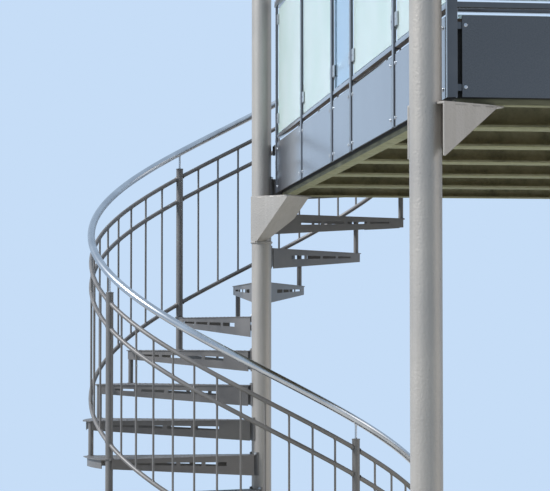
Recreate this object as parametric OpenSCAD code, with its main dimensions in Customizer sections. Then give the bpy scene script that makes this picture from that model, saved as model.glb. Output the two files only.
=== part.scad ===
// Steel spiral stair with the balcony platform that it serves.
// The stair climbs clockwise round a tubular newel, which is also the far left corner post of the
// platform. X runs across the platform, Y along its glazed side, and Z is up. The origin is the
// middle of the underside of the newel's base plate. All sizes are millimetres.

/* [Stair] */
// Height of one riser
riser = 200; // [180:1:210]
// Plan angle of one tread, degrees
step_angle = 22.5; // [20:0.5:24]
// Plan angle where the last tread meets the platform, degrees
landing_angle = 2; // [1:0.5:3]
// Radius of the circle that spacers, stanchions and balusters stand on
rail_radius = 990; // [900:5:1100]

/* [Treads] */
// Width of tread past the rail circle
tread_nose = 45; // [42:1:60]
// Thickness of the top plate
plate_t = 5; // [4:0.5:8]
// Thickness of the folded side flanges
flange_t = 4; // [3:0.5:6]
// Depth of tread at the newel
tread_h_in = 120; // [100:1:140]
// Depth of tread at its outer end
tread_h_out = 55; // [45:1:70]
// Half width of tread at the newel
tread_w_in = 52; // [46:1:56]
// How far a tread runs on under the next one, from the middle of the spacer
tread_lap = 39; // [36:1:44]
// Distance from the middle of the spacer to the bevelled corner of the tread
corner_cut = 24; // [23:1:32]
// Overhang of the top plate past its flanges
plate_lip = 4; // [2:0.5:6]
// Slots in each flange
slot_count = 4; // [2:1:6]
// Radius where the first slot starts
slot_from = 245; // [200:5:300]
// Radius where the last slot ends
slot_to = 875; // [800:5:880]
// Land between two slots
slot_gap = 25; // [15:1:40]
// Height of the slots at the newel end
slot_h_in = 26; // [18:1:32]
// Height of the slots at the outer end
slot_h_out = 8; // [6:1:14]
// Thickness of the collar plate that bears on the newel
collar_t = 6; // [5:0.5:8]
// Height of the lugs on the collar plate
lug_h = 14; // [8:1:20]

/* [Tubes] */
// Diameter of newel and platform posts
post_d = 114.3; // [101.6:0.1:121]
// Wall of newel and platform posts
post_wall = 5; // [4:0.5:8]
// Height of the posts above the platform
post_over = 1050; // [1000:10:1200]
// Diameter of the spacer tubes between treads
spacer_d = 30; // [26:0.5:33.7]
// Diameter of the stanchions
stanchion_d = 42.4; // [38:0.1:42.4]
// Diameter of the handrail
handrail_d = 42.4; // [38:0.1:48.3]
// Diameter of the three thin rails
rail_d = 25; // [20:0.5:30]
// Diameter of the balusters
baluster_d = 12; // [10:0.5:14]
// Balusters to each tread
balusters_per_tread = 3; // [2:1:4]
// Diameter of the pins under the handrail
pin_d = 12; // [10:0.5:16]

/* [Railing heights above the line of the nosings] */
// Middle of the lower rail
lower_rail_z = 88; // [80:1:120]
// Middle of the second rail
second_rail_z = 731; // [700:1:760]
// Middle of the upper rail
upper_rail_z = 874; // [850:1:890]
// Top of the stanchions
stanchion_z = 930; // [920:1:950]
// Middle of the handrail
handrail_z = 1031; // [1000:1:1060]

/* [Platform] */
// Width from fascia to fascia
deck_w = 2200; // [2100:10:2600]
// Length of a long bay of the glazed side
bay_long = 1087.5; // [1000:2.5:1200]
// Length of the short bay with clear glass
bay_short = 580; // [500:5:700]
// Gap from the newel's middle to the platform edge
deck_back = 60; // [58:1:80]
// Gap from the posts' middle to the fascia plane
deck_side = 77; // [70:1:90]
// Depth of the steel frame and boards together
deck_depth = 305; // [300:1:340]
// Thickness of the boards
board_t = 27; // [24:1:30]
// Number of boards
board_count = 34; // [30:1:38]
// Gap between boards
board_gap = 6; // [3:1:10]
// Width of the cross beams
cross_w = 160; // [120:1:180]
// Height of the cross beams
cross_h = 180; // [140:1:200]
// Thickness of the cross beam flanges
cross_flange = 9; // [7:0.5:12]
// Thickness of the cross beam webs
cross_web = 6; // [5:0.5:9]
// Number of cross beams between the two end beams
cross_count = 5; // [4:1:6]
// Width of the edge channels
edge_w = 60; // [50:1:75]
// Thickness of the edge channels
edge_t = 8; // [6:0.5:12]
// How far the edge channels lie behind the fascia plane
edge_inset = 38; // [38:1:50]
// Width of a joist
joist_w = 60; // [45:1:80]
// Number of joists
joist_count = 5; // [4:1:7]

/* [Fascia and glazed railing] */
// Thickness of the fascia boards
panel_t = 8; // [6:1:10]
// Height of the fascia boards
panel_h = 288.5; // [270:0.5:290]
// How far the fascia boards stand above the platform
panel_up = 5.5; // [0:0.5:15]
// Gap between a fascia board and the upright beside it
board_side = 9; // [6:0.5:12]
// Width of an upright along the fascia
upright_w = 40; // [34:1:50]
// Thickness of an upright
upright_t = 12; // [10:0.5:14]
// How far an upright stands out past the fascia boards
upright_out = 4; // [2:0.5:6]
// How much longer than the others the bay next to the newel is
first_extra = 20; // [0:1:40]
// Height of the tabs that hold the fascia boards to the uprights
tab_h = 34; // [28:1:40]
// Thickness of the tabs
tab_t = 4; // [3:0.5:6]
// Length of tab behind a board
tab_lap = 24; // [20:1:30]
// Distance from a board's edges to the middle of the tabs
tab_edge = 35; // [30:1:50]
// Side of the square corner uprights
corner_w = 36; // [30:1:36]
// Height of the bottom rail
low_rail_h = 20; // [15:1:30]
// Gap between fascia board and bottom rail
low_rail_gap = 28; // [20:1:35]
// Depth of the bottom rail
low_rail_w = 30; // [25:1:30]
// Top of the uprights above the platform
upright_top = 800; // [780:5:850]
// Height of the top rail
top_rail_h = 40; // [30:1:50]
// Width of the top rail
top_rail_w = 50; // [40:1:60]
// Distance from the fascia plane to the middle of the rails
rail_in = 16; // [15:0.5:18]
// How far the glass lies outside the middle of the rails
glass_out = 3; // [2:0.5:6]
// Thickness of the glass
glass_t = 8; // [6:1:12]
// Gap between glass and bottom rail
glass_low = 9; // [5:1:15]
// Gap between glass and top rail
glass_high = 15; // [10:1:30]
// Gap between glass and upright
glass_side = 15; // [10:1:20]
// Height of a glass clamp
clamp_h = 55; // [40:1:60]
// Length of a glass clamp along the pane
clamp_w = 45; // [35:1:50]
// Thickness of a glass clamp
clamp_t = 26; // [20:1:28]
// Height of the lower clamps above the platform
clamp_low = 147; // [130:1:180]
// Height of the upper clamps above the platform
clamp_high = 724; // [680:1:730]

/* [Brackets and feet] */
// Diameter of the foot plate under the stanchion at the first step
stanchion_foot_d = 110; // [90:1:120]
// Height of the bracket at the newel
newel_bracket_h = 260; // [220:5:280]
// Height of the brackets at the other posts
post_bracket_h = 190; // [170:5:220]
// Reach of the bracket at the newel
newel_reach = 290; // [270:5:320]
// Reach of the brackets at the other posts
post_reach = 276; // [260:1:300]
// Plan angle of the brackets at the other posts
post_turn = 29; // [20:1:40]
// Width of the brackets
bracket_w = 200; // [180:5:210]
// Thickness of the bracket plates
bracket_t = 8; // [6:0.5:12]
// Side of the base plates
base_w = 250; // [220:5:300]
// Thickness of the base plates
base_t = 15; // [12:1:20]
// Diameter of the anchor holes
anchor_d = 18; // [14:1:22]
// Distance between anchor holes
anchor_pitch = 190; // [170:1:200]

/* [Hidden] */
$fn = 48;
fit = 0.3;
// number of treads below the platform, each of which is a sub-part of its own
tread_count = 15;
post_r = post_d / 2;
deck_top = riser * (tread_count + 1);
frame_z = deck_top - deck_depth;
post_top = deck_top + post_over;
glazed_len = 4 * bay_long + bay_short;
deck_front = -deck_back - glazed_len;
deck_right = deck_side + deck_w;
house_x = deck_right + deck_side;
front_y = deck_front + 10;
// plan angle of a step line: k = -1 is the platform edge, each further k is one tread down
function step_at(k) = landing_angle + step_angle * (k + 1);
// height of the line of the nosings at a plan angle
function nosing(a) = deck_top - riser * (a - landing_angle) / step_angle;
last_k = tread_count - 1;
stanchion_k = [-1, 4, 8, 12, last_k];
// rise of the railing helix for each radian
pitch_rad = riser / step_angle * 180 / PI;
slope = atan(pitch_rad / rail_radius);
// treads, in their own frame: X outward along the middle line, top at zero
tread_r = rail_radius + tread_nose;
half_out = rail_radius * sin(step_angle / 2) + tread_lap;
r_in = post_r + fit + collar_t;
edge_slope = (half_out - tread_w_in) / (rail_radius - r_in);
edge_angle = atan(edge_slope);
function half_at(x) = tread_w_in + edge_slope * (x - r_in);
// middle of the spacer or stanchion at the corner, and where the side flanges end
corner_x = rail_radius * cos(step_angle / 2);
corner_y = rail_radius * sin(step_angle / 2);
flange_end = corner_x - 8;
end_half = 150;
// railing of the platform
z_panel_top = deck_top + panel_up;
z_panel_low = z_panel_top - panel_h;
z_low_rail = z_panel_top + low_rail_gap;
z_glass = z_low_rail + low_rail_h + glass_low;
z_up = deck_top + upright_top;
z_glass_top = z_up - glass_high;
panel_gap = upright_w + 2 * board_side;
tab_in = panel_t + fit;
glass_in = rail_in - glass_out;
guard_z = z_up + top_rail_h + 60 + handrail_d / 2;
landing_x = rail_radius + tread_nose + 75;
board_x = deck_side + edge_inset + 4;
board_y = deck_front + edge_inset + 4;
// cut through the bracket on the newel's stair side
newel_cut = 45;
reach_box = 400;
chan_x = deck_side + edge_inset;
chan_y = deck_front + edge_inset;
// the joints of the glazed side, from the newel to the front
joint_1 = -deck_back - first_extra - bay_long;
joints = [-deck_back - upright_w / 2, joint_1, joint_1 - bay_long,
    joint_1 - bay_long - bay_short, joint_1 - 2 * bay_long - bay_short];
mid_x = deck_side + deck_w / 2;

// A tube standing on a base plate
module post() {
    translate([0, 0, base_t]) difference() {
        cylinder(d = post_d, h = post_top - base_t);
        translate([0, 0, -1]) cylinder(r = post_r - post_wall, h = post_top - base_t + 2);
    }
}

// A square plate with four anchor holes
module base_plate() {
    difference() {
        translate([-base_w / 2, -base_w / 2, 0]) cube([base_w, base_w, base_t]);
        for (sx = [-1, 1], sy = [-1, 1])
            translate([sx * anchor_pitch / 2, sy * anchor_pitch / 2, -1])
                cylinder(d = anchor_d, h = base_t + 2, $fn = 32);
    }
}

// A flat cap with a bevelled rim
module post_cap() {
    translate([0, 0, post_top]) {
        cylinder(r = post_r, h = 4);
        translate([0, 0, 4]) cylinder(r1 = post_r, r2 = post_r - 6, h = 4);
    }
}

module at_posts() {
    translate([0, front_y, 0]) children();
    translate([house_x, front_y, 0]) children();
    translate([house_x, 0, 0]) children();
}

// One side flange in its own plane: s runs outward from the newel, v is height
module flange_shape() {
    s0 = 0;
    s1 = (flange_end - r_in) / cos(edge_angle);
    slot_l = (slot_to - slot_from - (slot_count - 1) * slot_gap) / slot_count;
    function depth(s) = tread_h_in + (tread_h_out - tread_h_in) * s / s1;
    function slot_h(s) = slot_h_in + (slot_h_out - slot_h_in) * s / s1;
    function slot_c(s) = -plate_t - 0.42 * (depth(s) - plate_t);
    difference() {
        polygon([[s0, -plate_t], [s1, -plate_t], [s1, -depth(s1)], [s0, -depth(s0)]]);
        for (i = [0 : slot_count - 1]) {
            a = slot_from - r_in + i * (slot_l + slot_gap);
            b = a + slot_l;
            polygon([[a, slot_c(a) - slot_h(a) / 2], [b, slot_c(b) - slot_h(b) / 2],
                [b, slot_c(b) + slot_h(b) / 2], [a, slot_c(a) + slot_h(a) / 2]]);
        }
    }
}

module wedge(inset, z0, z1) {
    x1 = tread_r + 20;
    i = inset / cos(edge_angle);
    translate([0, 0, z0]) linear_extrude(z1 - z0)
        polygon([[r_in - collar_t, -half_at(r_in - collar_t) + i], [x1, -half_at(x1) + i],
            [x1, half_at(x1) - i], [r_in - collar_t, half_at(r_in - collar_t) - i]]);
}

// One tread: folded top plate, two slotted flanges, an end flange and the collar plate
module tread(hole) {
    end_r = tread_r - 19;
    difference() {
        intersection() {
            wedge(0, -plate_t, 0);
            translate([0, 0, -plate_t]) cylinder(r = tread_r, h = plate_t, $fn = 128);
        }
        translate([0, 0, -plate_t - 1]) cylinder(r = post_r + fit, h = plate_t + 2);
        if (hole) translate([corner_x, corner_y, -plate_t - 1])
            cylinder(d = stanchion_d + 2 * fit, h = plate_t + 2);
        // bevelled outer corners
        for (m = [-1, 1]) translate([corner_x, m * corner_y, -plate_t - 1]) rotate([0, 0, m * 45])
            translate([corner_cut, -150, 0]) cube([100, 300, plate_t + 2]);
    }
    for (m = [0, 1]) mirror([0, m, 0])
        translate([r_in, tread_w_in - plate_lip, 0]) rotate([0, 0, edge_angle])
            rotate([90, 0, 0]) linear_extrude(flange_t) flange_shape();
    // end flange, a strip of a ring between the two bevelled corners
    intersection() {
        translate([rail_radius / 2, -end_half, -tread_h_out])
            cube([rail_radius, 2 * end_half, tread_h_out - plate_t]);
        difference() {
            translate([0, 0, -tread_h_out]) cylinder(r = end_r, h = tread_h_out, $fn = 128);
            translate([0, 0, -tread_h_out - 1])
                cylinder(r = end_r - flange_t, h = tread_h_out + 2, $fn = 128);
        }
    }
    // collar plate, bent round the newel, with two lugs standing up
    difference() {
        intersection() {
            translate([0, 0, -tread_h_in]) cylinder(r = r_in, h = tread_h_in + lug_h);
            union() {
                translate([post_r * 0.6, -tread_w_in + 4, -tread_h_in])
                    cube([post_r, 2 * tread_w_in - 8, tread_h_in]);
                for (s = [-1, 1]) translate([post_r * 0.6, s * 38 - 9, -1])
                    cube([post_r, 18, lug_h + 1]);
            }
        }
        translate([0, 0, -tread_h_in - 1]) cylinder(r = post_r + fit, h = tread_h_in + lug_h + 2);
    }
}

// Tread number j, counted from the ground, with a hole where a stanchion passes its front corner
module tread_at(j) {
    k = tread_count - j;
    translate([0, 0, riser * j]) rotate([0, 0, step_at(k) - step_angle / 2])
        tread(len([for (s = stanchion_k) if (s == k) s]) > 0);
}

// Spacer tubes carry the front corner of a tread on the back corner of the one below
module spacers() {
    for (k = [0 : last_k]) if (len([for (s = stanchion_k) if (s == k) s]) == 0)
        rotate([0, 0, step_at(k)]) translate([rail_radius, 0, nosing(step_at(k)) - riser])
            cylinder(d = spacer_d, h = riser - plate_t);
}

module stanchions() {
    for (k = stanchion_k) rotate([0, 0, step_at(k)])
        translate([rail_radius, 0, nosing(step_at(k)) - riser]) {
            cylinder(d = stanchion_d, h = riser + stanchion_z);
            if (k == last_k) cylinder(d = stanchion_foot_d, h = 8);
        }
}

// Pins from the stanchion caps to the underside of the handrail, cut to its round
module rail_pins() {
    for (k = stanchion_k) rotate([0, 0, step_at(k)])
        translate([rail_radius, 0, nosing(step_at(k)) + stanchion_z]) difference() {
            cylinder(d = pin_d, h = handrail_z - stanchion_z, $fn = 24);
            translate([0, 0, handrail_z - stanchion_z]) rotate([90 - slope, 0, 0])
                cylinder(d = handrail_d + 2 * fit, h = 80, center = true);
        }
}

// A tube bent along the stair: ring after ring of corners from plan angle a0 to a1
module helix(a0, a1, up, d, sides) {
    // rings stand where the balusters do, and halfway between, and at both ends
    step = step_angle / balusters_per_tread / 2;
    first = ceil((a0 - landing_angle) / step + 0.01);
    last = floor((a1 - landing_angle) / step - 0.01);
    angles = concat([a0], [for (i = [first : last]) landing_angle + i * step], [a1]);
    n = len(angles) - 1;
    function ring(i) = let (a = angles[i], z = nosing(a) + up,
        t = [-rail_radius * sin(a), rail_radius * cos(a), -pitch_rad] / norm([rail_radius, pitch_rad]),
        e = [cos(a), sin(a), 0], b = cross(t, e))
        [for (q = [0 : sides - 1]) let (w = 360 * (q + 0.5) / sides)
            [rail_radius * cos(a), rail_radius * sin(a), z] + d / 2 * (cos(w) * e + sin(w) * b)];
    pts = [for (i = [0 : n]) each ring(i)];
    faces = concat(
        [[for (q = [0 : sides - 1]) q]],
        [[for (q = [sides - 1 : -1 : 0]) n * sides + q]],
        [for (i = [0 : n - 1], q = [0 : sides - 1]) let (r = (q + 1) % sides)
            [i * sides + q, (i + 1) * sides + q, (i + 1) * sides + r]],
        [for (i = [0 : n - 1], q = [0 : sides - 1]) let (r = (q + 1) % sides)
            [i * sides + q, (i + 1) * sides + r, i * sides + r]]);
    polyhedron(pts, faces, convexity = 8);
}

// Plan angle taken up by half a stanchion on the rail circle
stop_angle = (stanchion_d / 2 + fit) / rail_radius * 180 / PI;

module rails(up) {
    for (i = [0 : len(stanchion_k) - 2])
        helix(step_at(stanchion_k[i]) + stop_angle, step_at(stanchion_k[i + 1]) - stop_angle,
            up, rail_d, 8);
}

module handrail() {
    helix(step_at(-1) - 3, step_at(last_k) + 3, handrail_z, handrail_d, 12);
}

// A baluster runs from one rail to the next, each end cut to the round of its rail
module bar(a, low, high) {
    rotate([0, 0, a]) translate([rail_radius, 0, nosing(a)]) difference() {
        translate([0, 0, low]) cylinder(d = baluster_d, h = high - low, $fn = 24);
        for (z = [low, high]) translate([0, 0, z]) rotate([90 - slope, 0, 0])
            cylinder(d = rail_d + 2 * fit, h = 40, center = true, $fn = 32);
    }
}

module balusters() {
    for (i = [0 : len(stanchion_k) - 2]) {
        m = (stanchion_k[i + 1] - stanchion_k[i]) * balusters_per_tread;
        for (q = [1 : m - 1]) {
            a = step_at(stanchion_k[i]) + q * step_angle / balusters_per_tread;
            bar(a, lower_rail_z, second_rail_z);
            bar(a, second_rail_z, upper_rail_z);
        }
    }
}

// Folded plate from the platform edge to the top spacer
module landing_plate() {
    y1 = 62;
    difference() {
        union() {
            translate([post_r + 15, -deck_back, deck_top - plate_t])
                cube([tread_r - post_r - 15, deck_back + y1, plate_t]);
            translate([post_r + 15, -deck_back, deck_top - 55])
                cube([tread_r - post_r - 15, flange_t, 55]);
            translate([post_r + 15, y1 - flange_t, deck_top - 55])
                cube([tread_r - post_r - 15, flange_t, 55]);
        }
        rotate([0, 0, step_at(-1)]) translate([rail_radius, 0, deck_top - plate_t - 1])
            cylinder(d = stanchion_d + 2 * fit, h = plate_t + 2);
    }
}

// Channel section, its back on the line u = 0 and its flanges towards +u
module channel_shape() {
    h = deck_depth - board_t;
    difference() {
        square([edge_w, h]);
        translate([edge_t, edge_t]) square([edge_w, h - 2 * edge_t]);
    }
}

module along_y(x, y0, y1, flip) {
    translate([x, y1, frame_z]) mirror([flip, 0, 0]) rotate([90, 0, 0])
        linear_extrude(y1 - y0) channel_shape();
}

module along_x(y, x0, x1, flip) {
    translate([x0, y, frame_z]) mirror([0, flip, 0]) rotate([90, 0, 90])
        linear_extrude(x1 - x0) channel_shape();
}

module edge_beams() {
    along_y(chan_x, chan_y, -deck_back, 0);
    along_y(deck_right - edge_inset, chan_y, -deck_back, 1);
    for (e = [[chan_y, 0], [-deck_back, 1]])
        along_x(e[0], chan_x + edge_w + fit, deck_right - edge_inset - edge_w - fit, e[1]);
}

module cross_beams() {
    y0 = chan_y + edge_w / 2;
    y1 = -deck_back - edge_w / 2;
    for (i = [1 : cross_count])
        translate([chan_x + edge_w, y0 + (y1 - y0) * i / (cross_count + 1), frame_z])
            rotate([90, 0, 90]) linear_extrude(deck_w - 2 * edge_inset - 2 * edge_w)
                polygon([[-cross_w / 2, 0], [cross_w / 2, 0], [cross_w / 2, cross_flange],
                    [cross_web / 2, cross_flange], [cross_web / 2, cross_h - cross_flange],
                    [cross_w / 2, cross_h - cross_flange], [cross_w / 2, cross_h],
                    [-cross_w / 2, cross_h], [-cross_w / 2, cross_h - cross_flange],
                    [-cross_web / 2, cross_h - cross_flange], [-cross_web / 2, cross_flange],
                    [-cross_w / 2, cross_flange]]);
}

module joists() {
    x0 = chan_x + edge_w + 60;
    x1 = deck_right - edge_inset - edge_w - 60 - joist_w;
    for (i = [0 : joist_count - 1])
        translate([x0 + (x1 - x0) * i / (joist_count - 1), chan_y + edge_w, frame_z + cross_h])
            cube([joist_w, glazed_len - edge_inset - 2 * edge_w, deck_depth - board_t - cross_h]);
}

module deck_boards() {
    len_y = -deck_back - board_y;
    w = (len_y + board_gap) / board_count - board_gap;
    for (i = [0 : board_count - 1])
        translate([board_x, board_y + i * (w + board_gap), deck_top - board_t])
            cube([deck_w - 2 * edge_inset - 8, w, board_t]);
}

// Outline of a bracket from the side: u runs out from the post's axis, v down from the frame. The
// top plate runs on past the side plates by lip
function bracket_side(h, foot, reach, lip) = [[0, 0], [reach, 0], [reach, -bracket_t],
    [reach - lip, -bracket_t], [foot, -h], [0, -h]];

module bracket_block(h, foot, reach, lip) {
    translate([0, bracket_w / 2, 0]) rotate([90, 0, 0]) linear_extrude(bracket_w)
        polygon(bracket_side(h, foot, reach, lip));
}

// The hollow of a box bracket, in its own frame: the post at the origin, X towards the frame. It
// leaves a top plate, two side plates, a sloping plate and a plate that meets the post at u = seat
module bracket_hollow(h, foot, reach, lip, seat) {
    t = bracket_t;
    w = bracket_w - 2 * t;
    k = (h - t) / (reach - lip - foot);
    far = reach - lip - 1.6 * t;
    translate([0, w / 2, 0]) rotate([90, 0, 0]) linear_extrude(w)
        polygon([[seat + t, -t], [far, -t], [seat + t, -t - k * (far - seat - t)]]);
    translate([-1, -w / 2, -h - 1]) cube([seat + 1, w, h - t + 1]);
}

module newel_bracket() {
    // the treads pass close by, so the bracket stops short on that side and is closed there
    module stair_side(cut) {
        translate([-reach_box, -2 * reach_box - cut, -reach_box])
            cube([3 * reach_box, 2 * reach_box, 2 * reach_box]);
    }
    translate([0, 0, frame_z]) {
        difference() {
            intersection() {
                rotate([0, 0, -45]) bracket_block(newel_bracket_h, 45, newel_reach, 20);
                stair_side(newel_cut);
            }
            intersection() {
                rotate([0, 0, -45]) bracket_hollow(newel_bracket_h, 45, newel_reach, 20, 12);
                stair_side(newel_cut + bracket_t);
            }
            translate([0, 0, -reach_box]) cylinder(r = post_r, h = 2 * reach_box);
        }
        // ring on which the bracket bears
        translate([0, 0, -newel_bracket_h - 8]) difference() {
            cylinder(r = post_r + 7, h = 8 - fit);
            translate([0, 0, -1]) cylinder(r = post_r, h = 10);
        }
    }
}

// The shallower bracket of the other posts
module post_bracket() {
    difference() {
        rotate([0, 0, post_turn]) difference() {
            bracket_block(post_bracket_h, 6, post_reach, 28);
            bracket_hollow(post_bracket_h, 6, post_reach, 28, 40);
        }
        translate([0, 0, -reach_box]) cylinder(r = post_r, h = 2 * reach_box);
    }
}

module post_brackets() {
    translate([0, front_y, frame_z]) post_bracket();
    translate([house_x, front_y, frame_z]) mirror([1, 0, 0]) post_bracket();
    translate([house_x, 0, frame_z]) mirror([1, 0, 0]) mirror([0, 1, 0]) post_bracket();
}

// A board between two places along the glazed side
module side_panel(y0, y1) {
    translate([deck_side, y1, z_panel_low]) cube([panel_t, y0 - y1, panel_h]);
}

module front_panel(x0, x1, y) {
    translate([x0, y, z_panel_low]) cube([x1 - x0, panel_t, panel_h]);
}

module fascia_panels() {
    g = panel_gap / 2;
    for (i = [0 : 3]) side_panel(joints[i] - g, joints[i + 1] + g);
    side_panel(joints[4] - g, deck_front + corner_w + 8);
    front_panel(deck_side + corner_w + 16, mid_x - g, deck_front);
    front_panel(mid_x + g, deck_right - corner_w - 16, deck_front);
    front_panel(landing_x + upright_w / 2 + g, deck_right - corner_w - 16,
        -deck_back + edge_inset - panel_t);
}

// A flat bar, in its own frame: X along the boards, Y inwards from their outer face. Two blocks
// hold it off the channel and carry tabs that reach behind the board on each side, or only towards
// +X at the end of a run
module upright(end) {
    reach = panel_gap / 2 + tab_lap;
    back = upright_t - upright_out;
    block_w = upright_w - 10;
    translate([-upright_w / 2, -upright_out, z_panel_low])
        cube([upright_w, upright_t, z_up - z_panel_low]);
    for (z = [z_panel_low + tab_edge, z_panel_top - tab_edge])
        translate([-block_w / 2, back, z - tab_h / 2]) cube([block_w, edge_inset - back, tab_h]);
    tabs(end ? 0 : -reach, reach);
}

module tabs(x0, x1) {
    for (z = [z_panel_low + tab_edge, z_panel_top - tab_edge])
        translate([x0, tab_in, z - tab_h / 2]) cube([x1 - x0, tab_t, tab_h]);
}

// Square tube at a corner, with its outer corner at the origin and tabs along X and Y
module corner_upright(both) {
    translate([0, 0, z_panel_low]) cube([corner_w, corner_w, z_up - z_panel_low]);
    tabs(corner_w - 1, corner_w + 16 + tab_lap);
    if (both) mirror([1, -1, 0]) tabs(corner_w - 1, corner_w + 8 + tab_lap);
}

module balcony_uprights() {
    for (y = joints) translate([deck_side, y, 0]) rotate([0, 0, -90]) upright(y == joints[0]);
    translate([mid_x, deck_front, 0]) upright(false);
    translate([landing_x + upright_w / 2, -deck_back + edge_inset, 0]) mirror([0, 1, 0])
        upright(true);
    translate([deck_side, deck_front, 0]) corner_upright(true);
    translate([deck_right, deck_front, 0]) mirror([1, 0, 0]) corner_upright(false);
    translate([deck_right, -deck_back + edge_inset, 0]) mirror([1, 0, 0]) mirror([0, 1, 0])
        corner_upright(false);
}

module box_y(x, y0, y1, z, w, h) { translate([x - w / 2, y1, z]) cube([w, y0 - y1, h]); }
module box_x(y, x0, x1, z, w, h) { translate([x0, y - w / 2, z]) cube([x1 - x0, w, h]); }

module bottom_rails() {
    u = upright_w / 2;
    x = deck_side + rail_in;
    for (i = [0 : 3])
        box_y(x, joints[i] - u, joints[i + 1] + u, z_low_rail, low_rail_w, low_rail_h);
    box_y(x, joints[4] - u, deck_front + corner_w, z_low_rail, low_rail_w, low_rail_h);
    y = deck_front + rail_in;
    box_x(y, deck_side + corner_w, mid_x - u, z_low_rail, low_rail_w, low_rail_h);
    box_x(y, mid_x + u, deck_right - corner_w, z_low_rail, low_rail_w, low_rail_h);
    box_x(-deck_back + edge_inset - rail_in, landing_x + 2 * u, deck_right - corner_w, z_low_rail,
        low_rail_w, low_rail_h);
}

module top_rails() {
    x = deck_side + rail_in;
    y = deck_front + rail_in;
    box_y(x, -deck_back, deck_front, z_up, top_rail_w, top_rail_h);
    box_x(y, x + top_rail_w / 2 + fit, deck_right, z_up, top_rail_w, top_rail_h);
    box_x(-deck_back + edge_inset - rail_in, landing_x, deck_right, z_up, top_rail_w, top_rail_h);
}

module pane_y(y0, y1) {
    box_y(deck_side + glass_in, y0 - upright_w / 2 - glass_side, y1 + upright_w / 2 + glass_side,
        z_glass, glass_t, z_glass_top - z_glass);
}
module pane_x(y, x0, x1) {
    box_x(y, x0 + glass_side, x1 - glass_side, z_glass, glass_t, z_glass_top - z_glass);
}

module frosted_panes() {
    pane_y(joints[0], joints[1]);
    pane_y(joints[1], joints[2]);
    pane_y(joints[3], joints[4]);
    pane_y(joints[4], deck_front + corner_w - upright_w / 2);
    pane_x(deck_front + glass_in, deck_side + corner_w, mid_x - upright_w / 2);
    pane_x(deck_front + glass_in, mid_x + upright_w / 2, deck_right - corner_w);
    pane_x(-deck_back + edge_inset - glass_in, landing_x + upright_w, deck_right - corner_w);
}
module clear_pane() { pane_y(joints[2], joints[3]); }

// A clamp on the face of an upright, slotted for the pane, pointing along +X
module clamp() {
    difference() {
        translate([0, -clamp_t / 2, -clamp_h / 2]) cube([clamp_w, clamp_t, clamp_h]);
        translate([glass_side - fit, -glass_t / 2 - fit, -clamp_h / 2 - 1])
            cube([clamp_w, glass_t + 2 * fit, clamp_h + 2]);
    }
}
module clamps_at(x, y, turn) {
    for (z = [clamp_low, clamp_high])
        translate([x, y, deck_top + z]) rotate([0, 0, turn]) clamp();
}

module pane_clamps() {
    u = upright_w / 2;
    x = deck_side + glass_in;
    y = deck_front + glass_in;
    yb = -deck_back + edge_inset - glass_in;
    for (i = [0 : 4]) clamps_at(x, joints[i] - u, -90);
    for (i = [1 : 4]) clamps_at(x, joints[i] + u, 90);
    clamps_at(x, deck_front + corner_w, 90);
    clamps_at(deck_side + corner_w, y, 0);
    clamps_at(mid_x - u, y, 180);
    clamps_at(mid_x + u, y, 0);
    clamps_at(deck_right - corner_w, y, 180);
    clamps_at(landing_x + upright_w, yb, 0);
    clamps_at(deck_right - corner_w, yb, 180);
}

// Round handrail over the glazed sides, on pins that stand on the top rail
module balcony_handrail() {
    x = deck_side + rail_in;
    y = deck_front + rail_in;
    yb = -deck_back + edge_inset - rail_in;
    r = handrail_d / 2;
    translate([x, -deck_back, guard_z]) rotate([90, 0, 0]) cylinder(r = r, h = -deck_back - y);
    translate([x, y, guard_z]) sphere(r = r);
    translate([x, y, guard_z]) rotate([0, 90, 0]) cylinder(r = r, h = deck_right - x);
    translate([landing_x, yb, guard_z]) rotate([0, 90, 0]) cylinder(r = r, h = deck_right - landing_x);
    module pin(px, py) {
        translate([px, py, z_up + top_rail_h]) cylinder(d = pin_d, h = 60 + 2, $fn = 24);
    }
    for (j = joints) pin(x, j);
    pin(x, y);
    pin(mid_x, y);
    pin(deck_right - corner_w / 2, y);
    pin(landing_x + upright_w / 2, yb);
    pin(deck_right - corner_w / 2, yb);
}

steel = "#8d8b8a";
color(steel) post();  // newel
color(steel) base_plate();  // newel_base
color(steel) translate([0, front_y, 0]) post();  // front_post
color(steel) {  // house_posts
    translate([house_x, front_y, 0]) post();
    translate([house_x, 0, 0]) post();
}
color(steel) at_posts() base_plate();  // post_bases
color(steel) { post_cap(); at_posts() post_cap(); }  // post_caps
color(steel) tread_at(1);  // tread_01
color(steel) tread_at(2);  // tread_02
color(steel) tread_at(3);  // tread_03
color(steel) tread_at(4);  // tread_04
color(steel) tread_at(5);  // tread_05
color(steel) tread_at(6);  // tread_06
color(steel) tread_at(7);  // tread_07
color(steel) tread_at(8);  // tread_08
color(steel) tread_at(9);  // tread_09
color(steel) tread_at(10);  // tread_10
color(steel) tread_at(11);  // tread_11
color(steel) tread_at(12);  // tread_12
color(steel) tread_at(13);  // tread_13
color(steel) tread_at(14);  // tread_14
color(steel) tread_at(15);  // tread_15
color(steel) spacers();
color(steel) stanchions();
color("silver") rail_pins();
color("silver") handrail();
color(steel) rails(upper_rail_z);  // upper_rail
color(steel) rails(second_rail_z);  // second_rail
color(steel) rails(lower_rail_z);  // lower_rail
color(steel) balusters();
color(steel) landing_plate();
color("#6f6a58") edge_beams();
color("#6f6a58") cross_beams();
color("#7a6a4f") joists();
color("#9a805c") deck_boards();
color(steel) newel_bracket();
color(steel) post_brackets();
color("#4d525c") fascia_panels();
color("#777a80") balcony_uprights();
color("#777a80") bottom_rails();
color("#777a80") top_rails();
color("#cfe6e2") frosted_panes();
color("#a9cfe6") clear_pane();
color("silver") pane_clamps();
color("silver") balcony_handrail();
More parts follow.
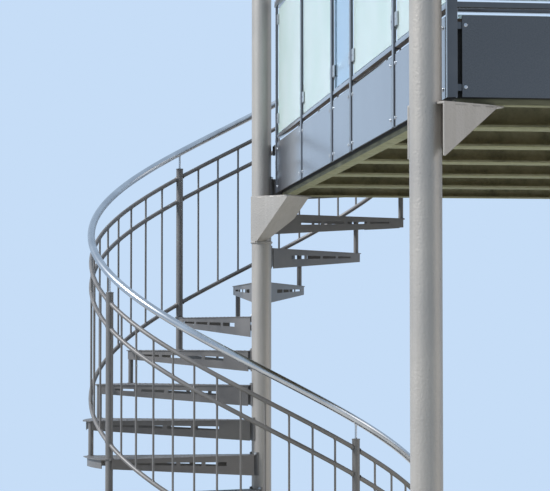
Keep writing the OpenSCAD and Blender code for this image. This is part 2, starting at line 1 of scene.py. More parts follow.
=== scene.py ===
import math
import bmesh
import bpy
import numpy as np
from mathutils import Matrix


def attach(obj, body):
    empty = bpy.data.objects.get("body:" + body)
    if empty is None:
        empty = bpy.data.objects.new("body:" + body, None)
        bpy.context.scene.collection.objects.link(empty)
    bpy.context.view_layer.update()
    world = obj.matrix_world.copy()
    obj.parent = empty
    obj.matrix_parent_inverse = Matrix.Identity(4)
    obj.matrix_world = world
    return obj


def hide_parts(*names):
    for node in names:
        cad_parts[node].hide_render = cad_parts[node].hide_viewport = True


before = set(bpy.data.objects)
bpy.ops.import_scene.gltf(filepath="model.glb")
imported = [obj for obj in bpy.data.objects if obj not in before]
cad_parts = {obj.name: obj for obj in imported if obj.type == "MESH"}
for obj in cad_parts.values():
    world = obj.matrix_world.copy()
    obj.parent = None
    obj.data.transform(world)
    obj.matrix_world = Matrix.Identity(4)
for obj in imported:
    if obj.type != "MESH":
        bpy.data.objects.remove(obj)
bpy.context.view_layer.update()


# Viewpoint
# The photograph looks along the glazed side from in front of the platform, from about eye
# height, slightly upwards, with a long lens: 2100 pixels on a picture 550 pixels wide.
lens = bpy.data.cameras.new("viewpoint")
lens.lens = 36 * 2100 / 550
lens.clip_end = 200
viewpoint = bpy.data.objects.new("viewpoint", lens)
viewpoint.location = (-1.4077, -12.1642, 2.079)
viewpoint.rotation_euler = (math.radians(92.5), 0, math.radians(-6.97))
bpy.context.scene.collection.objects.link(viewpoint)
bpy.context.scene.camera = viewpoint
bpy.context.scene.view_settings.view_transform = "Standard"


# Soft light and pale surroundings
# A soft lamp from the left stands for the daylight of the photograph, and an even sky and a weak
# lamp from the right fill its shade. Camera, glossy and transmitted rays see the sky pale blue.
def paint(code):
    """Turn an sRGB hex colour into linear values with alpha one."""
    c = np.array([int(code[i:i + 2], 16) / 255 for i in (1, 3, 5)])
    c = np.where(c <= 0.04045, c / 12.92, ((c + 0.055) / 1.055) ** 2.4)
    return (*c.tolist(), 1.0)


def feed(node, feeds):
    """Give each named socket of a node its value, or a link where the value is a socket."""
    for key, value in feeds.items():
        if isinstance(value, bpy.types.NodeSocket):
            node.id_data.links.new(value, node.inputs[key])
        else:
            node.inputs[key].default_value = value


def add(tree, kind, feeds=None, stops=None, **settings):
    """Add one node: settings are its options, feeds its sockets (a value or a link), stops a
    colour ramp's places and colours."""
    made = tree.nodes.new("ShaderNode" + kind)
    for key, value in settings.items():
        setattr(made, key, value)
    feed(made, feeds or {})
    if stops:
        ramp = made.color_ramp.elements
        while len(ramp) < len(stops):
            ramp.new(1.0)
        for element, (place, colour) in zip(ramp, stops):
            element.position = place
            element.color = paint(colour)
    return made


sky = bpy.data.worlds.new("pale_sky")
bpy.context.scene.world = sky
sky.use_nodes = True
tree = sky.node_tree
tree.nodes.clear()
ray = add(tree, "LightPath").outputs
direct = add(tree, "Math", {0: ray["Is Camera Ray"], 1: ray["Is Glossy Ray"]}, operation="MAXIMUM")
direct = add(tree, "Math", {0: direct.outputs[0], 1: ray["Is Transmission Ray"]}, operation="MAXIMUM")
height = add(tree, "SeparateXYZ", {0: add(tree, "TexCoord").outputs["Generated"]})
dome = add(tree, "ValToRGB", {0: height.outputs["Z"]},
    stops=[(0.0, "#7C7D76"), (0.12, "#B4B7B8"), (0.5, "#D5DAE0")])
seen = add(tree, "Background", {0: paint("#C6DDF7"), 1: 1.0})
lit = add(tree, "Background", {0: dome.outputs[0], 1: 0.5})
both = add(tree, "MixShader", {0: direct.outputs[0], 1: lit.outputs[0], 2: seen.outputs[0]})
add(tree, "OutputWorld", {0: both.outputs[0]})

for name, strength, colour, turn, spread in (("daylight", 3.8, "#FFFFFF", (0, -50, 4), 10),
        ("fill", 0.42, "#FFF0DF", (80, 0, 72), 30)):
    lamp = bpy.data.lights.new(name, "SUN")
    lamp.energy = strength
    lamp.color = paint(colour)[:3]
    lamp.angle = math.radians(spread)
    holder = bpy.data.objects.new(name, lamp)
    holder.rotation_euler = [math.radians(a) for a in turn]
    bpy.context.scene.collection.objects.link(holder)

# a wide dim lamp lying under the platform stands for the light that comes up from below
lamp = bpy.data.lights.new("bounce", "AREA")
lamp.shape, lamp.size, lamp.size_y, lamp.energy = "RECTANGLE", 2.0, 4.2, 24
lamp.color = paint("#FFFBEF")[:3]
holder = bpy.data.objects.new("bounce", lamp)
holder.location, holder.rotation_euler = (1.2, -2.7, 0.05), (math.pi, 0, 0)
holder.visible_camera = holder.visible_glossy = holder.visible_transmission = False
bpy.context.scene.collection.objects.link(holder)


# Round posts
# The newel and the three platform posts are 114 mm steel tube, powder coated a warm light grey
# that shows fine bumps, with a bevelled cap welded on top and a weld round the foot.
post_d = 0.1143
deck_top = 3.2
post_top = deck_top + 1.05
front_y, house_x = -4.98, 2.354
post_feet = np.array([[0, 0, 0], [0, front_y, 0], [house_x, front_y, 0], [house_x, 0, 0]])


def skin(grid, caps=True):
    """Faces for a grid of points (copies, rings, points of a ring, xyz): one quad between each
    pair of neighbours on two rings, each ring closed, and one face on the first and last ring."""
    grid = np.asarray(grid, float)
    grid = grid.reshape(-1, *grid.shape[-3:])
    copies, rings, sides, _ = grid.shape
    index = np.arange(copies * rings * sides).reshape(copies, rings, sides)
    low, high = index[:, :-1], index[:, 1:]
    quads = np.stack([low, np.roll(low, -1, 2), np.roll(high, -1, 2), high], -1).reshape(-1, 4)
    return grid.reshape(-1, 3), [quads] + ([index[:, 0, ::-1], index[:, -1]] if caps else [])


def piece(name, skins, material, replaced=()):
    """One mesh object at the origin from a list of skins, smooth across every edge that turns
    less than 32 degrees, riding on the frame."""
    points, faces, base = [], [], 0
    for some, groups in skins:
        points.append(some)
        for group in groups:
            faces += (group + base).tolist()
        base += len(some)
    mesh = bpy.data.meshes.new(name)
    mesh.from_pydata(np.concatenate(points), [], faces)
    sides = bmesh.new()
    sides.from_mesh(mesh)
    bmesh.ops.recalc_face_normals(sides, faces=sides.faces)
    sides.to_mesh(mesh)
    sides.free()
    mesh.polygons.foreach_set("use_smooth", np.ones(len(mesh.polygons), bool))
    mesh.set_sharp_from_angle(angle=math.radians(32))
    mesh.materials.append(material)
    made = bpy.data.objects.new(name, mesh)
    bpy.context.scene.collection.objects.link(made)
    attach(made, "root")
    if replaced:
        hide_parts(*replaced)
    return made


def turned(profile, sides):
    """A shape turned about the Z axis: ring i has the radius and height of profile row i."""
    r, z = np.array(profile, float).T
    w = np.arange(sides) * 2 * math.pi / sides
    return np.stack(np.broadcast_arrays(r[:, None] * np.cos(w), r[:, None] * np.sin(w), z[:, None]), -1)


def placed(shape, at, axis=(0, 0, 1)):
    """Copies of a shape that is built about the Z axis, with Z turned to point along axis, at
    each point of a list: point = place + x e1 + y e2 + z axis."""
    z = np.array(axis, float) / np.linalg.norm(axis)
    x = np.cross((0, 1, 0) if abs(z[1]) < 0.9 else (1, 0, 0), z)
    x /= np.linalg.norm(x)
    return np.asarray(at, float).reshape(-1, 1, 1, 3) + shape @ np.stack([x, np.cross(z, x), z])


def swept(path, radius, sides):
    """A round section carried along a path: centre + radius (cos w side + sin w over), where
    side is level and square to the path's direction, and over is square to both."""
    path = np.asarray(path, float)
    t = np.gradient(path, axis=0)
    t /= np.linalg.norm(t, axis=1, keepdims=True)
    side = np.cross(t, (0, 0, 1))
    side /= np.linalg.norm(side, axis=1, keepdims=True)
    over = np.cross(side, t)
    w = np.arange(sides)[:, None] * 2 * math.pi / sides
    radius = np.broadcast_to(radius, len(path))[:, None, None]
    return path[:, None] + radius * (np.cos(w) * side[:, None] + np.sin(w) * over[:, None])


def ring_weld(centre, radius, size):
    """A weld bead round a tube: a circle of points swept with a radius that ripples with each
    pass of the torch, size (1 + 0.12 |sin|), closed by running a little past its start."""
    steps = 90
    w = np.linspace(0, 2 * math.pi * 1.01, steps + 1)
    path = np.stack([radius * np.cos(w), radius * np.sin(w), 0 * w], -1) + np.asarray(centre, float)
    return swept(path, size * (1 + 0.12 * np.abs(np.sin(w * steps / 4))), 8)


def surface(name):
    """A new material, with its node tree, its shader and the socket that gives a point's place
    on the object."""
    made = bpy.data.materials.new(name)
    made.use_nodes = True
    tree = made.node_tree
    return made, tree, tree.nodes["Principled BSDF"], add(tree, "TexCoord").outputs["Object"]


# Powder coat on round tube: a thick, slightly bumpy film with metal flake in it, satin, so that
# light spreads wide across the tube, with a trace of rain dirt.
post_coat, tree, shader, place = surface("warm_grey_powder_coat_posts")
patches = add(tree, "TexNoise", {"Vector": place, "Scale": 2.4, "Detail": 5.0, "Roughness": 0.6})
tone = add(tree, "ValToRGB", {0: patches.outputs["Fac"]}, stops=[(0.32, "#ADA9A5"), (0.68, "#BBB6B0")])
long = add(tree, "Mapping", {"Vector": place, "Scale": (38, 38, 0.9)})
streaks = add(tree, "TexNoise", {"Vector": long.outputs[0], "Scale": 1.0, "Detail": 3.0})
dirt = add(tree, "ValToRGB", {0: streaks.outputs["Fac"]}, stops=[(0.42, "#DBD8D2"), (0.6, "#FFFFFF")])
tone = add(tree, "MixRGB", {"Fac": 0.2, "Color1": tone.outputs[0], "Color2": dirt.outputs[0]},
    blend_type="MULTIPLY")
specks = add(tree, "TexNoise", {"Vector": place, "Scale": 95.0, "Detail": 2.0})
specks = add(tree, "ValToRGB", {0: specks.outputs["Fac"]}, stops=[(0.2, "#77736D"), (0.27, "#FFFFFF")])
tone = add(tree, "MixRGB", {"Fac": 0.6, "Color1": tone.outputs[0], "Color2": specks.outputs[0]},
    blend_type="MULTIPLY")
gloss = add(tree, "MapRange", {0: patches.outputs["Fac"], 1: 0.3, 2: 0.7, 3: 0.46, 4: 0.53})
# the bumps of the film are about 4 mm across, and drawn at 9 mm so that they show
bumps = add(tree, "TexNoise", {"Vector": place, "Scale": 115.0, "Detail": 2.0})
relief = add(tree, "Bump", {"Strength": 0.5, "Distance": 0.0028, "Height": bumps.outputs["Fac"]})
feed(shader, {"Base Color": tone.outputs[0], "Metallic": 0.4, "Roughness": gloss.outputs[0],
    "Normal": relief.outputs[0]})

r = post_d / 2
shaft = turned([(r, 0.015), (r, 1.4), (r, 2.8), (r, post_top - 0.001), (r - 0.001, post_top)], 64)
cap = turned([(r - 0.001, post_top), (r, post_top + 0.001), (r, post_top + 0.0035),
    (r - 0.0015, post_top + 0.005), (r - 0.006, post_top + 0.0075), (0.03, post_top + 0.008)], 64)
foot_welds = [skin(ring_weld(p + (0, 0, 0.0165), r + 0.001, 0.0035)) for p in post_feet]
piece("newel_tube", [skin(placed(shaft, post_feet[:1]))], post_coat, ("newel",))
piece("front_post_tube", [skin(placed(shaft, post_feet[1:2]))], post_coat,
    ("front_post",))
piece("house_post_tubes", [skin(placed(shaft, post_feet[2:]))], post_coat,
    ("house_posts",))
piece("bevelled_post_caps", [skin(placed(cap, post_feet))], post_coat, ("post_caps",))
piece("foot_welds", foot_welds, post_coat)


# Base plates and anchors
# Square plates 15 mm thick with eased edges, coated as the posts, each held by four galvanised
# M16 anchors that stand out of a hexagon nut and a washer.
def block(low, high, r, along=2):
    """Boxes between two corners each: a rectangle whose corners are arcs of radius r, carried
    along one axis. From the rim at each end a ring at angle q steps in by r (1 - sin q) and
    back by r cos q, so the end face lies just inside its rim."""
    low, high = np.atleast_2d(low).astype(float), np.atleast_2d(high).astype(float)
    low, high = np.broadcast_arrays(low, high)
    middle, half = (low + high) / 2, abs(high - low) / 2
    a, b = (along + 1) % 3, (along + 2) % 3
    r = np.minimum(r, half.min(1) * 0.9)[:, None, None]
    w = np.radians([0, 45, 90, 90, 135, 180, 180, 225, 270, 270, 315, 360])
    sa, sb = np.array([1] * 3 + [-1] * 6 + [1] * 3), np.array([1] * 6 + [-1] * 6)
    q = np.radians([25, 55, 90, 90, 55, 25])[:, None]
    end = np.array([-1, -1, -1, 1, 1, 1])[:, None]
    grid = np.zeros((len(low), 6, 12, 3))
    grid[..., a] = sa * (half[:, a, None, None] - r) + r * np.sin(q) * np.cos(w)
    grid[..., b] = sb * (half[:, b, None, None] - r) + r * np.sin(q) * np.sin(w)
    grid[..., along] = end * (half[:, along, None, None] - r * np.cos(q) + 0 * w)
    return grid + middle[:, None, None]


def hexagon(flats, rings, sides=24):
    """A nut or bolt head about the Z axis: each ring gives radius, height and whether it is six
    sided; there the radius becomes flats / 2 / cos of the angle to the nearest flat."""
    w = np.arange(sides) * 2 * math.pi / sides
    six = flats / 2 / np.cos((w + math.pi / 6) % (math.pi / 3) - math.pi / 6)
    r, z, is_six = np.array(rings, float).T[..., None]
    r = np.where(is_six > 0, np.minimum(six, r), r)
    return np.stack([r * np.cos(w), r * np.sin(w), z + 0 * w], -1)


# Hot-dip galvanised steel: dull light grey with soft spangle, a little rough.
galvanised, tree, shader, place = surface("hot_dip_galvanised_steel")
spangle = add(tree, "TexVoronoi", {"Vector": place, "Scale": 160.0})
tone = add(tree, "ValToRGB", {0: spangle.outputs["Color"]}, stops=[(0.1, "#A7ABAE"), (0.9, "#C9CCCE")])
feed(shader, {"Base Color": tone.outputs[0], "Metallic": 0.9, "Roughness": 0.42})

plate, plate_t, pitch = 0.25, 0.015, 0.19
half = np.array([plate / 2, plate / 2, 0])
plates = block(post_feet - half, post_feet + half + (0, 0, plate_t), 0.002)
piece("newel_foot_plate", [skin(plates[:1])], post_coat, ("newel_base",))
piece("post_foot_plates", [skin(plates[1:])], post_coat, ("post_bases",))
corners = np.array([[sx * pitch / 2, sy * pitch / 2, plate_t] for sx in (-1, 1) for sy in (-1, 1)])
anchor_at = (post_feet[:, None] + corners).reshape(-1, 3)
anchor = hexagon(0.024, [(0.015, 0, 0), (0.015, 0.003, 0), (0.0128, 0.003, 0), (0.0135, 0.0036, 1),
    (0.0139, 0.005, 1), (0.0139, 0.0145, 1), (0.0128, 0.016, 1), (0.0095, 0.0162, 0), (0.008, 0.0162, 0),
    (0.008, 0.032, 0), (0.0065, 0.0335, 0)])
piece("anchor_bolts", [skin(placed(anchor, anchor_at))], galvanised)


# Edge channels and cross beams
# Rolled steel sections, painted long ago and weathered to a mottled olive grey, greener below. The
# webs' outer faces are coloured dark as painted shade. Cross beams end in plates with four bolts each.
frame_z = deck_top - 0.305
chan_x, chan_y, chan_end = 0.115, -4.952, -0.06
deck_right = 2.277
chan_right = deck_right - 0.038
frame_h, edge_w, edge_t = 0.278, 0.06, 0.008
slip = 0.0003


def rolled(profile, fillet, corners_in):
    """A rolled section's outline from its corner points: each corner is cut by an arc drawn with
    four points, p - a + b weights of the two neighbours, of the given fillet length."""
    p = np.array(profile, float)
    back, on = np.roll(p, 1, 0) - p, np.roll(p, -1, 0) - p
    back /= np.linalg.norm(back, axis=1, keepdims=True)
    on /= np.linalg.norm(on, axis=1, keepdims=True)
    size = np.where(np.isin(np.arange(len(p)), corners_in), fillet, 0.0008)[:, None, None]
    s = np.array([1, 0.45, 0.14, 0.0])[:, None]
    return (p[:, None] + size * (s * back[:, None] + s[::-1] * on[:, None])).reshape(-1, 2)


def along_y(outline, x, y0, y1, z, flip=1):
    """The outline (u, v) carried from y0 to y1: x + flip u, y, z + v."""
    u, v = outline.T
    return np.stack(np.broadcast_arrays(x + flip * u, np.array([[y0], [y1]]), z + v), -1)


def along_x(outline, y, x0, x1, z, flip=1):
    """The outline (u, v) carried from x0 to x1: x, y + flip u, z + v."""
    u, v = outline.T
    return np.stack(np.broadcast_arrays(np.array([[x0], [x1]]), y + flip * u, z + v), -1)


# Old paint on steel: mottled with grime and moss, matt, greener below where water hangs.
frame_coat, tree, shader, place = surface("weathered_olive_paint")
grime = add(tree, "TexNoise", {"Vector": place, "Scale": 9.0, "Detail": 9.0, "Roughness": 0.72})
tone = add(tree, "ValToRGB", {0: grime.outputs["Fac"]},
    stops=[(0.3, "#7E7E70"), (0.46, "#AFAF99"), (0.6, "#C2C2AC"), (0.75, "#CBCBB8")])
moss = add(tree, "TexNoise", {"Vector": place, "Scale": 26.0, "Detail": 6.0, "Roughness": 0.7})
under = add(tree, "ValToRGB", {0: moss.outputs["Fac"]},
    stops=[(0.3, "#6F7053"), (0.5, "#898A6A"), (0.7, "#9C9B7E")])
height = add(tree, "SeparateXYZ", {0: place})
low = add(tree, "MapRange",
    {0: height.outputs["Z"], 1: frame_z + 0.001, 2: frame_z + 0.0035, 3: 1.0, 4: 0.0})
tone = add(tree, "MixRGB", {"Fac": low.outputs[0], "Color1": tone.outputs[0], "Color2": under.outputs[0]})
relief = add(tree, "Bump", {"Strength": 0.4, "Distance": 0.002, "Height": grime.outputs["Fac"]})
feed(shader, {"Base Color": tone.outputs[0], "Roughness": 0.72, "Normal": relief.outputs[0]})

channel = rolled([(0, 0), (edge_w, 0), (edge_w, edge_t), (edge_t, edge_t), (edge_t, frame_h - edge_t),
    (edge_w, frame_h - edge_t), (edge_w, frame_h), (0, frame_h)], 0.008, [3, 4])
inner = (chan_x + edge_w + slip, chan_right - edge_w - slip)
channels = piece("edge_channels", [
    skin(along_y(channel, chan_x, chan_y, chan_end, frame_z)),
    skin(along_y(channel, chan_right, chan_y, chan_end, frame_z, -1)),
    skin(along_x(channel, chan_y, *inner, frame_z)),
    skin(along_x(channel, chan_end, *inner, frame_z, -1))],
    frame_coat, ("edge_beams",))

# Painted shade: a dull brown black with streaks along it, put on the channels' outer faces where the
# boards hide the steel, so that the slits between the boards show dark; the strip that shows below them is
# left olive.
painted_shade_coat, tree, shader, place = surface("dark_painted_shade_coat")
long = add(tree, "Mapping", {"Vector": place, "Scale": (6, 6, 90)})
brushed = add(tree, "TexNoise", {"Vector": long.outputs[0], "Scale": 1.0, "Detail": 4.0})
tone = add(tree, "ValToRGB", {0: brushed.outputs["Fac"]}, stops=[(0.3, "#1F1E1B"), (0.7, "#312F2A")])
bare = add(tree, "ValToRGB", {0: brushed.outputs["Fac"]}, stops=[(0.3, "#737460"), (0.7, "#A3A38C")])
height = add(tree, "SeparateXYZ", {0: place})
low = add(tree, "MapRange",
    {0: height.outputs["Z"], 1: frame_z + 0.018, 2: frame_z + 0.024, 3: 1.0, 4: 0.0})
tone = add(tree, "MixRGB", {"Fac": low.outputs[0], "Color1": tone.outputs[0], "Color2": bare.outputs[0]})
feed(shader, {"Base Color": tone.outputs[0], "Roughness": 0.65})
# the channels' outer faces above the bottom flange take the second slot, which is painted shade
channels.data.materials.append(painted_shade_coat)
flush = 1e-4
middle = np.empty(3 * len(channels.data.polygons))
channels.data.polygons.foreach_get("center", middle)
x, y, z = middle.reshape(-1, 3).T
painted_shade_faces = (abs(x - chan_x) < flush) | (abs(x - chan_right) < flush)
painted_shade_faces |= (abs(y - chan_y) < flush) | (abs(y - chan_end) < flush)
channels.data.polygons.foreach_set("material_index", (painted_shade_faces & (z > frame_z + 0.001)).astype(np.int32))

# plates 3 mm thick close the open ends of the two long channels, coloured with the same painted shade
lid_t, lid_z = 0.003, (frame_z + 0.001, frame_z + frame_h - 0.001)
lids = [skin(block((x0, y0, lid_z[0]), (x0 + edge_w, y0 + lid_t, lid_z[1]), 0.0008))
    for x0 in (chan_x, chan_right - edge_w) for y0 in (chan_y - lid_t, chan_end)]
piece("channel_end_plates", lids, painted_shade_coat)

# half the beam's width, its height, the flange's thickness and half the web's
w, h, f, t = 0.08, 0.18, 0.009, 0.003
beam = rolled([(-w, 0), (w, 0), (w, f), (t, f), (t, h - f), (w, h - f), (w, h), (-w, h), (-w, h - f),
    (-t, h - f), (-t, f), (-w, f)], 0.012, [3, 4, 9, 10])
y_first, y_last = chan_y + edge_w / 2, chan_end - edge_w / 2
beam_y = y_first + (y_last - y_first) * np.arange(1, 6) / 6
beam_top = frame_z + h
beam_x = (chan_x + edge_w, chan_right - edge_w)
piece("cross_beams_rolled", [skin(along_x(beam, y, *beam_x, frame_z)) for y in beam_y],
    frame_coat, ("cross_beams",))
ends, bolts = [], []
bolt = hexagon(0.019, [(0.0115, 0, 0), (0.0115, 0.0025, 0), (0.0102, 0.0025, 0), (0.0106, 0.003, 1),
    (0.011, 0.004, 1), (0.011, 0.0085, 1), (0.0098, 0.0098, 1), (0.006, 0.01, 0)], 18)
for x, s in ((beam_x[0], 1), (beam_x[1], -1)):
    face = x + s * 0.01
    for y in beam_y:
        ends.append(skin(block((x, y - 0.075, frame_z + 0.012), (face, y + 0.075, frame_z + 0.168), 0.001)))
    spots = [(face, y + dy, frame_z + dz)
        for y in beam_y for dy in (-0.05, 0.05) for dz in (0.045, 0.135)]
    bolts.append(skin(placed(bolt, spots, (s, 0, 0))))
piece("beam_end_plates", ends, frame_coat)
piece("beam_bolts", bolts, galvanised)


# Joists
# Sawn timbers 60 by 98 mm laid over the cross beams to carry the boards, brown, with grain along
# them and slightly eased arrises.
joist_w, joist_h, joist_count = 0.06, 0.098, 5
side_gap = 0.06
joist_x = np.linspace(beam_x[0] + side_gap, beam_x[1] - side_gap - joist_w, joist_count)
low = np.stack([joist_x, 0 * joist_x + chan_y + edge_w, 0 * joist_x + beam_top], -1)
high = low + (joist_w, chan_end - chan_y - 2 * edge_w, joist_h)
# Weathered larch, sawn: brown grain along the timber, dry and rough.
larch, tree, shader, place = surface("sawn_larch")
long = add(tree, "Mapping", {"Vector": place, "Scale": (70, 1.6, 70)})
grain = add(tree, "TexNoise", {"Vector": long.outputs[0], "Scale": 1.0, "Detail": 7.0,
    "Roughness": 0.65, "Distortion": 0.6})
tone = add(tree, "ValToRGB", {0: grain.outputs["Fac"]},
    stops=[(0.3, "#4B3D2B"), (0.5, "#6B5940"), (0.72, "#857254")])
relief = add(tree, "Bump", {"Strength": 0.5, "Distance": 0.001, "Height": grain.outputs["Fac"]})
feed(shader, {"Base Color": tone.outputs[0], "Roughness": 0.85, "Normal": relief.outputs[0]})
piece("sawn_joists", [skin(block(low, high, 0.003, 1))], larch, ("joists",))


# Deck boards
# Hardwood boards 27 mm thick across the platform, grooved on top against slipping, oiled, with
# two countersunk stainless screws in every joist.
board_t, board_gap, board_count = 0.027, 0.006, 34
board_x = (0.119, deck_right - 0.042)
board_y0, board_y1 = -4.948, -0.06
board_w = (board_y1 - board_y0 + board_gap) / board_count - board_gap
grooves = 11
u = np.linspace(0.004, board_w - 0.004, grooves * 6 + 1)
ridge = -0.0007 + 0.0009 * np.tanh(2.4 * np.cos(2 * np.pi * grooves * (u - u[0]) / (u[-1] - u[0])))
top = np.stack([u, board_t + np.minimum(ridge, 0)], -1)
side = np.array([[board_w - 0.001, board_t - 0.001], [board_w, board_t - 0.003], [board_w, 0.002],
    [board_w - 0.002, 0], [0.002, 0], [0, 0.002], [0, board_t - 0.003], [0.001, board_t - 0.001]])
outline = np.concatenate([top, side])
starts = board_y0 + np.arange(board_count) * (board_w + board_gap)
boards = np.concatenate([along_x(outline, y, *board_x, deck_top - board_t)[None] for y in starts])
# Oiled hardwood, a few summers old: grey brown, fine straight grain, each board its own tone.
hardwood, tree, shader, place = surface("oiled_hardwood")
parts = add(tree, "SeparateXYZ", {0: place})
number = add(tree, "Math", {0: parts.outputs["Y"], 1: 1 / (board_w + board_gap)}, operation="MULTIPLY")
offset = -board_y0 / (board_w + board_gap)
number = add(tree, "Math", {0: number.outputs[0], 1: offset}, operation="ADD")
number = add(tree, "Math", {0: number.outputs[0]}, operation="FLOOR")
own = add(tree, "TexWhiteNoise", {"W": number.outputs[0]}, noise_dimensions="1D")
shift = add(tree, "CombineXYZ", {0: number.outputs[0], 1: number.outputs[0], 2: 0.0})
moved = add(tree, "VectorMath", {0: place, 1: shift.outputs[0]}, operation="ADD")
long = add(tree, "Mapping", {"Vector": moved.outputs[0], "Scale": (2.2, 95, 95)})
grain = add(tree, "TexNoise", {"Vector": long.outputs[0], "Scale": 1.0, "Detail": 8.0,
    "Roughness": 0.6, "Distortion": 0.8})
tone = add(tree, "ValToRGB", {0: grain.outputs["Fac"]},
    stops=[(0.28, "#57463A"), (0.5, "#75624F"), (0.74, "#8C7862")])
shade = add(tree, "ValToRGB", {0: own.outputs["Value"]}, stops=[(0.0, "#C4BBAE"), (1.0, "#FFFFFF")])
tone = add(tree, "MixRGB", {"Fac": 0.8, "Color1": tone.outputs[0], "Color2": shade.outputs[0]},
    blend_type="MULTIPLY")
relief = add(tree, "Bump", {"Strength": 0.3, "Distance": 0.0006, "Height": grain.outputs["Fac"]})
feed(shader, {"Base Color": tone.outputs[0], "Roughness": 0.55, "Normal": relief.outputs[0]})
piece("grooved_boards", [skin(boards)], hardwood, ("deck_boards",))

# Stainless steel, ground: bright, cool grey, with the fine scratches of the belt.
stainless, tree, shader, place = surface("ground_stainless_steel")
scratch = add(tree, "TexNoise", {"Vector": place, "Scale": 420.0, "Detail": 3.0})
cloud = add(tree, "TexNoise", {"Vector": place, "Scale": 7.0, "Detail": 3.0})
tone = add(tree, "ValToRGB", {0: cloud.outputs["Fac"]}, stops=[(0.3, "#ADAFB2"), (0.7, "#C2C4C6")])
gloss = add(tree, "MapRange", {0: scratch.outputs["Fac"], 1: 0.3, 2: 0.7, 3: 0.25, 4: 0.29})
feed(shader, {"Base Color": tone.outputs[0], "Metallic": 1.0, "Roughness": gloss.outputs[0]})

spots = [(x + joist_w / 2, y + board_w / 2 + s * 0.045, deck_top - 0.0022)
    for x in joist_x for y in starts for s in (-1, 1)]
countersunk = turned([(0.0048, -0.002), (0.0048, 0.0016), (0.0026, 0.0018), (0.002, 0.0003)], 10)
piece("deck_screws", [skin(placed(countersunk, spots))], stainless)


# Brackets under the platform corners
# Boxes welded from 8 mm plate between post and frame: a top plate, triangular sides and a
# sloping plate below. The one on the newel stands on a ring; weld beads run down the tube.
def softened(name, nodes, width, material):
    """One piece from copies of CAD nodes: points merged, flat faces joined, every edge sharper
    than 30 degrees rounded by the given width."""
    shell = bmesh.new()
    for n in nodes:
        shell.from_mesh(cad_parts[n].data)
    bmesh.ops.remove_doubles(shell, verts=shell.verts, dist=2e-6)
    bmesh.ops.dissolve_limit(shell, angle_limit=math.radians(0.5), verts=shell.verts, edges=shell.edges)
    mesh = bpy.data.meshes.new(name)
    shell.to_mesh(mesh)
    shell.free()
    mesh.polygons.foreach_set("use_smooth", np.ones(len(mesh.polygons), bool))
    mesh.set_sharp_from_angle(angle=math.radians(30))
    mesh.materials.clear()
    mesh.materials.append(material)
    made = bpy.data.objects.new(name, mesh)
    bpy.context.scene.collection.objects.link(made)
    edge = made.modifiers.new("eased_edges", "BEVEL")
    edge.width, edge.segments, edge.limit_method, edge.angle_limit = width, 2, "ANGLE", math.radians(30)
    edge.harden_normals = True
    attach(made, "root")
    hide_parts(*nodes)
    return made


def line_weld(start, end, size):
    """A straight weld bead: a line of points swept with a radius that ripples with each pass of
    the torch, size (1 + 0.15 |sin|), and runs out at both ends."""
    start, end = np.array(start, float), np.array(end, float)
    n = max(6, int(np.linalg.norm(end - start) / 0.0035))
    s = np.linspace(0, 1, n)
    bead = size * (1 + 0.15 * np.abs(np.sin(np.arange(n) * 1.6)))
    bead *= np.clip(8 * np.minimum(s, 1 - s) + 0.3, 0, 1)
    return swept(start + s[:, None] * (end - start), bead, 8)


softened("newel_box_bracket", ["newel_bracket"], 0.0012, post_coat)
softened("corner_box_brackets", ["post_brackets"], 0.0012, post_coat)
welds = [skin(ring_weld((0, 0, frame_z - 0.2605), r + 0.001, 0.0028)),
    skin(ring_weld((0, 0, frame_z - 0.2685), r + 0.001, 0.003))]
# along the upper edges of the side plates: the newel's bracket points to -45 degrees, the other
# three to 29 degrees, mirrored from post to post
for foot, turn, mx, my in zip(post_feet, (-45, 29, 29, 29), (1, 1, -1, -1), (1, 1, 1, -1)):
    turn = math.radians(turn)
    out = np.array([math.cos(turn), math.sin(turn), 0]) * (mx, my, 1)
    side = np.array([math.sin(turn), -math.cos(turn), 0]) * (mx, my, 1)
    for s in (-1, 1) if turn > 0 else (1,):
        a = foot + s * side * 0.1 + (0, 0, frame_z - 0.0085)
        for s0, s1 in ((0.05, 0.1), (0.13, 0.17), (0.19, 0.23)):
            welds.append(skin(line_weld(a + out * s0, a + out * s1, 0.0018)))
piece("bracket_welds", welds, post_coat)


# Treads
# Wedges of folded 5 mm sheet, coated grey: a flat top, slotted side flanges that taper outwards,
# a short end flange and a collar that clasps the newel with two lugs.
riser, step_angle, landing_angle, rail_r = 0.2, 22.5, 2.0, 0.99
tread_count = 15
# Powder coat as on the posts but finer, darker grey as painted shade, dull with handling and weather.
shaded_stair_coat, tree, shader, place = surface("grey_powder_coat_stair_painted_shade")
patches = add(tree, "TexNoise", {"Vector": place, "Scale": 5.0, "Detail": 6.0, "Roughness": 0.65})
tone = add(tree, "ValToRGB", {0: patches.outputs["Fac"]}, stops=[(0.3, "#6F6D6D"), (0.7, "#817F7E")])
specks = add(tree, "TexNoise", {"Vector": place, "Scale": 120.0, "Detail": 2.0})
specks = add(tree, "ValToRGB", {0: specks.outputs["Fac"]}, stops=[(0.22, "#5E5A54"), (0.29, "#FFFFFF")])
tone = add(tree, "MixRGB", {"Fac": 0.35, "Color1": tone.outputs[0], "Color2": specks.outputs[0]},
    blend_type="MULTIPLY")
gloss = add(tree, "MapRange", {0: patches.outputs["Fac"], 1: 0.3, 2: 0.7, 3: 0.42, 4: 0.56})
bumps = add(tree, "TexNoise", {"Vector": place, "Scale": 210.0, "Detail": 2.0})
relief = add(tree, "Bump", {"Strength": 0.12, "Distance": 0.0005, "Height": bumps.outputs["Fac"]})
feed(shader, {"Base Color": tone.outputs[0], "Metallic": 0.3, "Roughness": gloss.outputs[0],
    "Normal": relief.outputs[0]})

for j in range(1, tread_count + 1):
    softened(f"folded_tread_{j:02d}", [f"tread_{j:02d}"], 0.001, shaded_stair_coat)
softened("folded_landing_plate", ["landing_plate"], 0.001, shaded_stair_coat)


def step_at(k):
    """Plan angle of step line k in degrees: -1 is the platform edge, each further one a tread
    down."""
    return landing_angle + step_angle * (k + 1)


